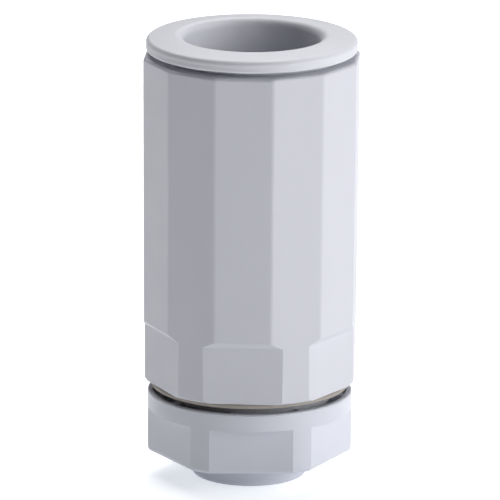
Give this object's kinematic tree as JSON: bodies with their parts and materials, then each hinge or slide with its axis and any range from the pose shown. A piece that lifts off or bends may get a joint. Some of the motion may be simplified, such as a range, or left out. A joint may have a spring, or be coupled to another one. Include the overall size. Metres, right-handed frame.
{
  "type": "cable gland",
  "caption": "Conduit-end cable gland: faceted body with soft entry seal, wrench flats, gasket and screwed cap nut that closes a clamping cage on a cable seal.",
  "frame": {"origin": "centre of the cap nut's lower end face, which is the bottom centre of the object's box", "axes": "+Z along the gland's axis, from the cable end up to the conduit end; the front wrench flat of the body faces -Y"},
  "size_m": [0.031, 0.031, 0.0659],
  "materials": {
    "body_plastic": "light grey moulded polyamide, satin gloss",
    "entry_elastomer": "soft pale grey elastomer, matt",
    "gasket_rubber": "warm grey rubber, matt",
    "nut_plastic": "light grey moulded polyamide, satin gloss",
    "acetal": "natural white acetal, smooth",
    "cage_nylon": "grey nylon, fine matt",
    "seal_rubber": "black chloroprene rubber, matt"
  },
  "bodies": {
    "root": {"gland_body": "body_plastic", "entry_seal": "entry_elastomer", "body_gasket": "gasket_rubber", "clamping_cage": "cage_nylon", "cable_seal": "seal_rubber"},
    "thrust_ring": {"thrust_ring": "acetal"},
    "cap_nut": {"cap_nut": "nut_plastic"}
  },
  "joints": [
    {"name": "nut_travel", "type": "slide", "parent": "root", "child": "thrust_ring", "axis": [0, 0, 1], "range_m": [-0.00226, 0.00073], "deforming": ["clamping_cage", "cable_seal"]},
    {"name": "nut_turn", "type": "hinge", "parent": "thrust_ring", "child": "cap_nut", "pos_m": [0, 0, 0.008], "axis": [0, 0, 1], "range_deg": [-540, 174]}
  ],
  "couplings": [
    {"joint": "nut_travel", "follows": "nut_turn", "m_per_rad": 0.00023873}
  ]
}
